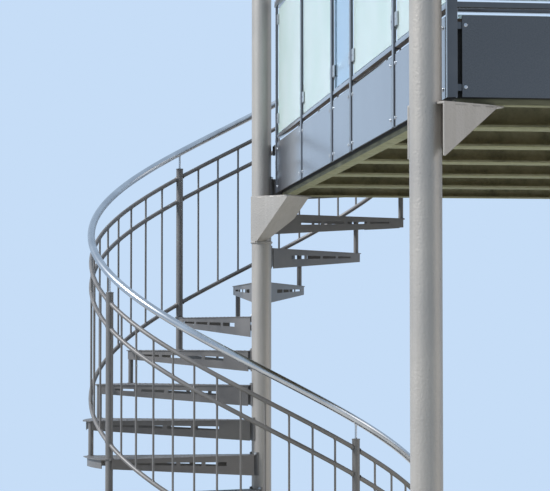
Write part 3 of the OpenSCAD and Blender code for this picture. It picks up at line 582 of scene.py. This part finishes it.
def on_stair(angle, radius, up):
    """Points at plan angles in degrees, at a radius, at a height above the line of nosings."""
    angle = np.asarray(angle, float)
    a = np.radians(angle)
    z = deck_top - riser * (angle - landing_angle) / step_angle + up
    return np.stack(np.broadcast_arrays(radius * np.cos(a), radius * np.sin(a), z), -1)


# Studs on the treads
# Rows of small round studs, three to seven across, pressed up through each steel top plate for
# grip. The photograph shows the treads from below, so the studs are what such treads have.
stud_inset = 0.035
stud = turned([(0.0065, -0.0004), (0.006, 0.0006), (0.0042, 0.0013), (0.002, 0.0016)], 12)
spots = []
for j in range(1, tread_count + 1):
    middle = step_at(tread_count - j) - step_angle / 2
    for radius in np.arange(0.2, 1.0, 0.045):
        half_plate = 0.052 + 0.19 * (radius - 0.06)
        reach = math.degrees((half_plate - stud_inset) / radius)
        for share in np.linspace(-1, 1, 3 if radius < 0.4 else 5 if radius < 0.75 else 7):
            a = math.radians(middle + share * reach)
            spots.append((radius * math.cos(a), radius * math.sin(a), riser * j))
piece("tread_studs", [skin(placed(stud, spots))], shaded_stair_coat)


# Collar screws
# Galvanised M8 hexagon screws with a washer, one through each of a collar's two lugs, which pin
# the tread to the newel.
lug = hexagon(0.013, [(0.0085, -0.001, 0), (0.0085, 0.0015, 0), (0.0072, 0.0016, 1), (0.0075, 0.0022, 1),
    (0.0075, 0.0055, 1), (0.0066, 0.0064, 1), (0.004, 0.0066, 0)], 18)
heads = []
for j in range(1, tread_count + 1):
    middle = math.radians(step_at(tread_count - j) - step_angle / 2)
    for s in (-1, 1):
        a = middle + s * math.asin(0.038 / 0.0635)
        out = np.array([math.cos(a), math.sin(a), 0])
        heads.append(skin(placed(lug, [out * 0.0634 + (0, 0, riser * j + 0.0055)], out)))
piece("collar_screws", heads, galvanised)


# Spacers and stanchions
# Tubes at the outer corners: 30 mm spacers carry one tread on the next, with a washer at each
# end, and 42 mm stanchions pass through both treads, flat topped, with a collar at each plate.
stanchion_k = np.array([-1, 4, 8, 12, 14])
spacer_k = np.array([k for k in range(tread_count) if k not in stanchion_k])
sr, gap = 0.015, riser - 0.005
spacer = turned([(sr + 0.006, 0), (sr + 0.006, 0.0025), (sr, 0.003), (sr, gap / 2), (sr, gap - 0.003),
    (sr + 0.006, gap - 0.0025), (sr + 0.006, gap)], 32)
feet = on_stair(step_at(spacer_k), rail_r, -riser)
piece("spacer_tubes", [skin(placed(spacer, feet))], shaded_stair_coat, ("spacers",))
sr = 0.0212
tube = turned([(sr, 0), (sr, 0.6), (sr, riser + 0.925), (sr + 0.0012, riser + 0.9252),
    (sr + 0.0015, riser + 0.926), (sr + 0.0015, riser + 0.929), (sr + 0.0008, riser + 0.93),
    (0.008, riser + 0.93)], 32)
collar = turned([(sr - 0.001, 0), (sr + 0.007, 0), (sr + 0.007, 0.003), (sr + 0.004, 0.005),
    (sr - 0.001, 0.0065)], 32)
foot = turned([(0.054, 0), (0.055, 0.001), (0.055, 0.007), (0.054, 0.008), (sr - 0.001, 0.008)], 40)
feet = on_stair(step_at(stanchion_k), rail_r, -riser)
parts = [skin(placed(tube, feet)), skin(placed(collar, feet[:-1])), skin(placed(foot, feet[-1:])),
    skin(placed(collar, feet + (0, 0, riser)))]
piece("stanchion_tubes", parts, shaded_stair_coat, ("stanchions",))


# Three thin rails
# 25 mm tubes rolled to the stair's helix, which run from stanchion to stanchion and are welded
# to them with a small bead.
rails = {"upper_rail": 0.874, "second_rail": 0.731, "lower_rail": 0.088}
stop = math.degrees(0.0215 / rail_r)
for node, up in rails.items():
    parts = []
    for k0, k1 in zip(stanchion_k[:-1], stanchion_k[1:]):
        a0, a1 = step_at(k0) + stop, step_at(k1) - stop
        path = on_stair(np.linspace(a0, a1, int((a1 - a0) / 1.25)), rail_r, up)
        parts.append(skin(swept(path, 0.0125, 28)))
        for end, on in ((path[0], path[1]), (path[-1], path[-2])):
            t = (on - end) / np.linalg.norm(on - end)
            bead = turned([(0.0125, 0.0055), (0.0145, 0.003), (0.0162, -0.0005), (0.0125, -0.003)], 20)
            parts.append(skin(placed(bead, [end], t)))
    piece("rolled_" + node, parts, shaded_stair_coat, (node,))


# Balusters
# 12 mm steel round bar, coated as the treads, three to a tread: a long one from the lower rail to
# the second and a short one from there to the upper, each end spread into a small weld.
angles = np.concatenate([np.arange(step_at(k0), step_at(k1) - 0.1, step_angle / 3)[1:]
    for k0, k1 in zip(stanchion_k[:-1], stanchion_k[1:])])
parts = []
heights = [rails[node] for node in ("lower_rail", "second_rail", "upper_rail")]
for low, high in zip(heights[:-1], heights[1:]):
    a, b = 0.0125, high - low - 0.0125
    bar = turned([(0.009, a - 0.007), (0.0088, a - 0.001), (0.0068, a + 0.002), (0.006, a + 0.005),
        (0.006, (a + b) / 2), (0.006, b - 0.005), (0.0068, b - 0.002), (0.0088, b + 0.001),
        (0.009, b + 0.007)], 18)
    parts.append(skin(placed(bar, on_stair(angles, rail_r, low))))
piece("welded_balusters", parts, shaded_stair_coat, ("balusters",))


# Handrail of the stair
# One 42 mm stainless tube in a continuous helix with flat end caps, on thin pins that stand on
# the stanchions, each pin with a small foot and a saddle.
def hand_tube(path, sides):
    """The skin of the handrail's tube along a path, drawn in a little at both end caps."""
    size = np.full(len(path), 0.0212)
    size[[0, -1]] = 0.0197
    return skin(swept(path, size, sides))


path = on_stair(np.linspace(step_at(-1) - 3, step_at(14) + 3, 300), rail_r, 1.031)
piece("helical_handrail", [hand_tube(path, 48)], stainless, ("handrail",))
pin = turned([(0.012, 0), (0.012, 0.0015), (0.0075, 0.004), (0.006, 0.006), (0.006, 0.072), (0.0072, 0.078),
    (0.009, 0.082), (0.009, 0.088)], 20)
feet = on_stair(step_at(stanchion_k), rail_r, 0.93)
piece("handrail_pins", [skin(placed(pin, feet))], stainless, ("rail_pins",))


# Fascia boards
# Compact laminate 8 mm thick, anthracite and satin, with a black core that shows on the cut
# edges. At every joint each board has two round-head screws into small tabs behind it.
deck_side, deck_front = 0.077, -4.99
low_z, high_z = deck_top + 0.0055 - 0.2885, deck_top + 0.0055
joints = np.array([-0.08, -1.1675, -2.255, -2.835, -3.9225])
mid_x, corner_w, g, half_bar = (deck_side + deck_right) / 2, 0.036, 0.029, 0.02
side_y = [(joints[i + 1] + g, joints[i] - g) for i in range(4)]
side_y.append((deck_front + corner_w + 0.008, joints[4] - g))
landing_x = 1.13
front_x = [(deck_side + corner_w + 0.016, mid_x - g), (mid_x + g, deck_right - corner_w - 0.016)]
back_y, back_x = -0.022, (landing_x + g, deck_right - corner_w - 0.016)


def boxes(pairs, r, along=2):
    """The skin of several blocks from pairs of a low and a high corner."""
    lows, highs = zip(*pairs)
    return skin(block(lows, highs, r, along))


def span(axis, along, across, up):
    """Low and high corners of a box on a run in direction axis (0 or 1), from its limits along
    the run, across it and in height, each pair in any order."""
    low, high = np.zeros(3), np.zeros(3)
    for k, limits in ((axis, along), (1 - axis, across), (2, up)):
        low[k], high[k] = sorted(limits)
    return low, high


# Compact laminate: even anthracite film, satin, so at a low angle it mirrors the sky.
laminate, tree, shader, place = surface("anthracite_compact_laminate")
fleck = add(tree, "TexNoise", {"Vector": place, "Scale": 300.0, "Detail": 2.0})
tone = add(tree, "ValToRGB", {0: fleck.outputs["Fac"]}, stops=[(0.3, "#4F545E"), (0.7, "#60656F")])
dust = add(tree, "TexNoise", {"Vector": place, "Scale": 3.0, "Detail": 5.0})
veil = add(tree, "ValToRGB", {0: dust.outputs["Fac"]}, stops=[(0.35, "#F2F2F2"), (0.7, "#FFFFFF")])
tone = add(tree, "MixRGB", {"Fac": 1.0, "Color1": tone.outputs[0], "Color2": veil.outputs[0]},
    blend_type="MULTIPLY")
gloss = add(tree, "MapRange", {0: dust.outputs["Fac"], 1: 0.3, 2: 0.7, 3: 0.2, 4: 0.26})
feed(shader, {"Base Color": tone.outputs[0], "Roughness": gloss.outputs[0], "Coat Weight": 0.8,
    "Coat Roughness": 0.12})
# Phenolic core: near black, dull, with faint brown layers.
core, tree, shader, place = surface("black_laminate_core")
layers = add(tree, "TexNoise", {"Vector": place, "Scale": 500.0, "Detail": 2.0})
tone = add(tree, "ValToRGB", {0: layers.outputs["Fac"]}, stops=[(0.3, "#141313"), (0.7, "#221F1D")])
feed(shader, {"Base Color": tone.outputs[0], "Roughness": 0.6})

panel_t, eased = 0.008, 0.0006
up = (low_z, high_z)
side = [span(1, run, (deck_side, deck_side + panel_t), up) for run in side_y]
front = [span(0, run, (deck_front, deck_front + panel_t), up) for run in front_x]
back = [span(0, back_x, (back_y - panel_t, back_y), up)]
panels = piece("laminate_fascia", [boxes(side, eased, 0), boxes(front + back, eased, 1)],
    laminate, ("fascia_panels",))
panels.data.materials.append(core)
# only the boards' two broad faces are larger than this, and all others show the core
broad = 0.03
area = np.empty(len(panels.data.polygons))
panels.data.polygons.foreach_get("area", area)
panels.data.polygons.foreach_set("material_index", (area < broad).astype(np.int32))

screw = turned([(0.0075, 0), (0.0073, 0.0014), (0.006, 0.003), (0.0038, 0.004), (0.0026, 0.0041),
    (0.002, 0.0026)], 18)
levels = (low_z + 0.035, high_z - 0.035)
far, near = 0.012, 0.042
spots = [(deck_side, y, z) for a, b in side_y for y in (a + near, b - far) for z in levels]
heads = [skin(placed(screw, spots, (-1, 0, 0)))]
spots = [(x, deck_front, z) for a, b in front_x for x in (a + far, b - far) for z in levels]
heads.append(skin(placed(screw, spots, (0, -1, 0))))
spots = [(x, back_y, z) for x in (back_x[0] + far, back_x[1] - far) for z in levels]
heads.append(skin(placed(screw, spots, (0, 1, 0))))
piece("fascia_screws", heads, stainless)


# Uprights and rails of the glazed sides
# Flat bars 40 by 12 mm at the joints, a little proud of the boards and held off the channel by
# short blocks, square tube at the corners, a slim bottom rail and a 50 mm top rail, dark grey.
up_z = deck_top + 0.8
# Powder coat, dark grey with a bluish cast, fine texture, satin.
guard_coat, tree, shader, place = surface("dark_grey_powder_coat_guard")
patches = add(tree, "TexNoise", {"Vector": place, "Scale": 8.0, "Detail": 5.0})
tone = add(tree, "ValToRGB", {0: patches.outputs["Fac"]}, stops=[(0.3, "#474B54"), (0.7, "#565B65")])
bumps = add(tree, "TexNoise", {"Vector": place, "Scale": 260.0, "Detail": 2.0})
relief = add(tree, "Bump", {"Strength": 0.04, "Distance": 0.0003, "Height": bumps.outputs["Fac"]})
feed(shader, {"Base Color": tone.outputs[0], "Roughness": 0.28, "Coat Weight": 1.0,
    "Coat Roughness": 0.08, "Normal": relief.outputs[0]})

proud, back = 0.004, 0.008
far_x, half_block = deck_right - corner_w, 0.015
flats = [((deck_side - proud, y - half_bar, low_z), (deck_side + back, y + half_bar, up_z))
    for y in joints]
flats += [((mid_x - half_bar, deck_front - proud, low_z), (mid_x + half_bar, deck_front + back, up_z)),
    ((landing_x - half_bar, back_y - back, low_z), (landing_x + half_bar, back_y + proud, up_z))]
blocks = []
for z in levels:
    up = (z - 0.017, z + 0.017)
    blocks += [span(1, (y - half_block, y + half_block), (deck_side + back, chan_x), up) for y in joints]
    blocks.append(span(0, (mid_x - half_block, mid_x + half_block), (deck_front + back, chan_y), up))
    blocks.append(span(0, (landing_x - half_block, landing_x + half_block), (chan_end, back_y - back), up))
tubes = [((x, y, low_z), (x + corner_w, y + corner_w, up_z))
    for x, y in ((deck_side, deck_front), (far_x, deck_front), (far_x, back_y - corner_w))]
bars = [boxes(flats, 0.0012), boxes(blocks, 0.001), boxes(tubes, 0.0018)]
piece("guard_uprights", bars, guard_coat, ("balcony_uprights",))

# Tabs of 4 mm flat bar run from the blocks of each upright behind the boards beside it
behind, tab_z, lap, long_lap = (0.0083, 0.0123), 0.012, 0.024, 0.056
side_tabs = [(y - g - lap, y - half_block) for y in joints]
side_tabs += [(y + half_block, y + g + long_lap) for y in joints[1:]]
side_tabs.append((deck_front + corner_w, side_y[4][0] + long_lap))
front_tabs = [(deck_side + corner_w, front_x[0][0] + lap), (mid_x - g - lap, mid_x - half_block),
    (mid_x + half_block, mid_x + g + lap), (front_x[1][1] - lap, far_x)]
back_tabs = [(landing_x + half_block, landing_x + g + lap), (back_x[1] - lap, far_x)]
tabs = []
for axis, face, s, runs in ((1, deck_side, 1, side_tabs), (0, deck_front, 1, front_tabs),
        (0, back_y, -1, back_tabs)):
    tabs += [span(axis, run, (face + s * behind[0], face + s * behind[1]), (z - tab_z, z + tab_z))
        for z in levels for run in runs]
piece("fascia_tabs", [boxes(tabs, 0.0006)], guard_coat)

# Each run of the guard has its direction (0 or 1), its two ends, the line of its rails and the
# side on which its outer face lies
rail_x, rail_fy, rail_by = deck_side + 0.016, deck_front + 0.016, back_y - 0.016
low_rail = high_z + 0.028
runs = [(1, (joints[i + 1] + half_bar, joints[i] - half_bar), rail_x, -1) for i in range(4)]
runs += [(1, (deck_front + corner_w, joints[4] - half_bar), rail_x, -1),
    (0, (deck_side + corner_w, mid_x - half_bar), rail_fy, -1),
    (0, (mid_x + half_bar, far_x), rail_fy, -1), (0, (landing_x + half_bar, far_x), rail_by, 1)]
slim, slim_h = 0.015, 0.02
slims = [span(axis, ends, (line - slim, line + slim), (low_rail, low_rail + slim_h))
    for axis, ends, line, out in runs]
piece("slim_bottom_rails", [boxes(slims[:5], 0.002, 1), boxes(slims[5:], 0.002, 0)], guard_coat,
    ("bottom_rails",))
half_top, top_h = 0.025, 0.04
up = (up_z, up_z + top_h)
side = [span(1, (deck_front, chan_end), (rail_x - half_top, rail_x + half_top), up)]
front = [span(0, (rail_x + half_top + slip, deck_right), (rail_fy - half_top, rail_fy + half_top), up),
    span(0, (landing_x - half_bar, deck_right), (rail_by - half_top, rail_by + half_top), up)]
piece("square_top_rails", [boxes(side, 0.004, 1), boxes(front, 0.004, 0)], guard_coat,
    ("top_rails",))


# Panes
# Toughened glass 8 mm thick with polished edges: etched, pale mint and translucent, but for the
# narrow clear pane between the second and third joints.
glass_low, glass_high = low_rail + 0.029, up_z - 0.015
# Etched glass: milky, pale green, soft light passes but no shapes.
frosted, tree, shader, place = surface("etched_glass")
haze = add(tree, "TexNoise", {"Vector": place, "Scale": 2.0, "Detail": 3.0})
tone = add(tree, "ValToRGB", {0: haze.outputs["Fac"]}, stops=[(0.35, "#DDF2F0"), (0.65, "#EAF9FB")])
grit = add(tree, "TexNoise", {"Vector": place, "Scale": 600.0, "Detail": 2.0})
relief = add(tree, "Bump", {"Strength": 0.1, "Distance": 0.0003, "Height": grit.outputs["Fac"]})
feed(shader, {"Base Color": tone.outputs[0], "Roughness": 0.32, "IOR": 1.52,
    "Transmission Weight": 0.35, "Normal": relief.outputs[0]})
# Clear float glass: colourless on its faces, faintly blue-green through its depth.
clear, tree, shader, place = surface("clear_float_glass")
film = add(tree, "TexNoise", {"Vector": place, "Scale": 6.0, "Detail": 4.0})
tone = add(tree, "ValToRGB", {0: film.outputs["Fac"]}, stops=[(0.3, "#C4E0F0"), (0.7, "#D2E9F5")])
gloss = add(tree, "MapRange", {0: film.outputs["Fac"], 1: 0.3, 2: 0.7, 3: 0.01, 4: 0.05})
feed(shader, {"Base Color": tone.outputs[0], "Roughness": gloss.outputs[0], "IOR": 1.52,
    "Transmission Weight": 0.95})

pane_out, half_pane, pane_gap = 0.003, 0.004, 0.015
up = (glass_low, glass_high)
panes = []
for axis, (a, b), line, out in runs:
    glass = line + out * pane_out
    panes.append(span(axis, (a + pane_gap, b - pane_gap), (glass - half_pane, glass + half_pane), up))
narrow = panes.pop(2)
piece("etched_panes", [boxes(panes[:4], 0.001, 0), boxes(panes[4:], 0.001, 1)], frosted,
    ("frosted_panes",))
piece("clear_glass_pane", [boxes([narrow], 0.001, 0)], clear, ("clear_pane",))


# Glass clamps
# Square die-cast clamps of zinc, blasted and lacquered, each two shells with rubber between them
# and the glass, and one screw in the outer shell.
levels = np.array([deck_top + 0.147, deck_top + 0.724])
# Die-cast zinc: light grey, satin, with a fine blasted grain.
zinc, tree, shader, place = surface("blasted_zinc_die_casting")
grain = add(tree, "TexNoise", {"Vector": place, "Scale": 700.0, "Detail": 2.0})
tone = add(tree, "ValToRGB", {0: grain.outputs["Fac"]}, stops=[(0.3, "#B5B9BC"), (0.7, "#D3D6D8")])
relief = add(tree, "Bump", {"Strength": 0.15, "Distance": 0.0003, "Height": grain.outputs["Fac"]})
feed(shader, {"Base Color": tone.outputs[0], "Metallic": 0.85, "Roughness": 0.38,
    "Normal": relief.outputs[0]})
# Rubber: black, matt, a little dusty.
rubber, tree, shader, place = surface("black_rubber")
dust = add(tree, "TexNoise", {"Vector": place, "Scale": 90.0, "Detail": 4.0})
tone = add(tree, "ValToRGB", {0: dust.outputs["Fac"]}, stops=[(0.35, "#17181A"), (0.75, "#2A2B2D")])
feed(shader, {"Base Color": tone.outputs[0], "Roughness": 0.75})

clamp_screw = turned([(0.005, -0.0005), (0.005, 0.0012), (0.0042, 0.0018), (0.0024, 0.0019),
    (0.002, 0.0006)], 14)
clamp_w, shell, rubber_t, bridge = 0.045, (0.0055, 0.013), (0.0041, 0.0056), 0.0135
shells, pads, heads = [], [], []
for z in levels:
    tall, short = (z - 0.0275, z + 0.0275), (z - 0.0265, z + 0.0265)
    for axis, ends, line, out in runs:
        glass = line + out * pane_out
        for end, s in zip(ends, (1, -1)):
            for side in (-1, 1):
                across = [glass + side * x for x in shell]
                shells.append(span(axis, (end, end + s * clamp_w), across, tall))
                across = [glass + side * x for x in rubber_t]
                pads.append(span(axis, (end + s * 0.014, end + s * 0.044), across, short))
            across = (glass - rubber_t[1], glass + rubber_t[1])
            shells.append(span(axis, (end, end + s * bridge), across, short))
            spot, facing = np.array([0, 0, z]), np.zeros(3)
            spot[axis], spot[1 - axis] = end + s * clamp_w / 2, glass + out * shell[1]
            facing[1 - axis] = out
            heads.append(skin(placed(clamp_screw, spot, facing)))
piece("zinc_clamps", [boxes(shells, 0.0025)], zinc, ("pane_clamps",))
piece("clamp_rubbers", [boxes(pads, 0.0004)], rubber)
piece("clamp_screws", heads, stainless)


# Handrail of the platform
# The same stainless tube over the top rail, on pins, bent round the front corner with a tight
# elbow and closed with flat caps.
guard_z = up_z + 0.1212
bend, cap_x = 0.045, deck_right - 0.002
q = np.linspace(0, math.pi / 2, 14)
corner = np.stack([rail_x + bend - bend * np.cos(q), rail_fy + bend - bend * np.sin(q)], -1)
path = np.concatenate([[(rail_x, -0.06), (rail_x, -0.062), (rail_x, -2.5)], corner,
    [(1.2, rail_fy), (cap_x, rail_fy), (deck_right, rail_fy)]])
back = [(landing_x - half_bar, rail_by), (landing_x - 0.006, rail_by), (1.7, rail_by),
    (cap_x, rail_by), (deck_right, rail_by)]
tubes = [hand_tube(np.insert(line, 2, guard_z, 1), 28) for line in (path, back)]
pin = turned([(0.013, 0), (0.013, 0.002), (0.0075, 0.004), (0.006, 0.007), (0.006, 0.05),
    (0.0075, 0.056), (0.009, 0.061), (0.009, 0.066)], 20)
post_x = deck_right - corner_w / 2
spots = [(rail_x, y) for y in joints] + [(rail_x + 0.06, rail_fy), (mid_x, rail_fy), (post_x, rail_fy),
    (landing_x, rail_by), (post_x, rail_by)]
tubes.append(skin(placed(pin, np.insert(spots, 2, up_z + top_h, 1))))
piece("platform_handrail", tubes, stainless, ("balcony_handrail",))


# Floor
# A pale round floor that fades out at its rim. It takes the shadows, and the light that bounces
# off it is darker and greener than the floor looks.
floor_at, rim_sides = (1.0, -2.2, 0), 96
rings = (0.02, 2, 4, 6, 7.5, 9, 10, 11)
floor_shape = turned([(x, -0.0005) for x in rings], rim_sides) + floor_at
points, groups = skin(floor_shape, caps=False)
mesh = bpy.data.meshes.new("pale_floor")
mesh.from_pydata(points, [], groups[0][:, ::-1].tolist() + [list(range(rim_sides))])
pale = bpy.data.materials.new("pale_floor")
pale.use_nodes = True
tree = pale.node_tree
tree.nodes.clear()
ray = add(tree, "LightPath").outputs
direct = add(tree, "Math", {0: ray["Is Camera Ray"], 1: ray["Is Glossy Ray"]}, operation="MAXIMUM")
direct = add(tree, "Math", {0: direct.outputs[0], 1: ray["Is Transmission Ray"]}, operation="MAXIMUM")
tone = add(tree, "MixRGB",
    {"Fac": direct.outputs[0], "Color1": paint("#B4B5A9"), "Color2": paint("#E9EBEC")})
matt = add(tree, "BsdfDiffuse", {0: tone.outputs[0]})
place = add(tree, "TexCoord").outputs["Object"]
centred = add(tree, "VectorMath", {0: place, 1: floor_at}, operation="SUBTRACT")
far = add(tree, "VectorMath", {0: centred.outputs[0]}, operation="LENGTH")
rim = add(tree, "MapRange", {0: far.outputs["Value"], 1: 5.5, 2: 10.8, 3: 0.0, 4: 1.0},
    interpolation_type="SMOOTHSTEP")
nothing = add(tree, "BsdfTransparent")
both = add(tree, "MixShader", {0: rim.outputs[0], 1: matt.outputs[0], 2: nothing.outputs[0]})
add(tree, "OutputMaterial", {0: both.outputs[0]})
mesh.materials.append(pale)
floor = bpy.data.objects.new("pale_floor", mesh)
bpy.context.scene.collection.objects.link(floor)
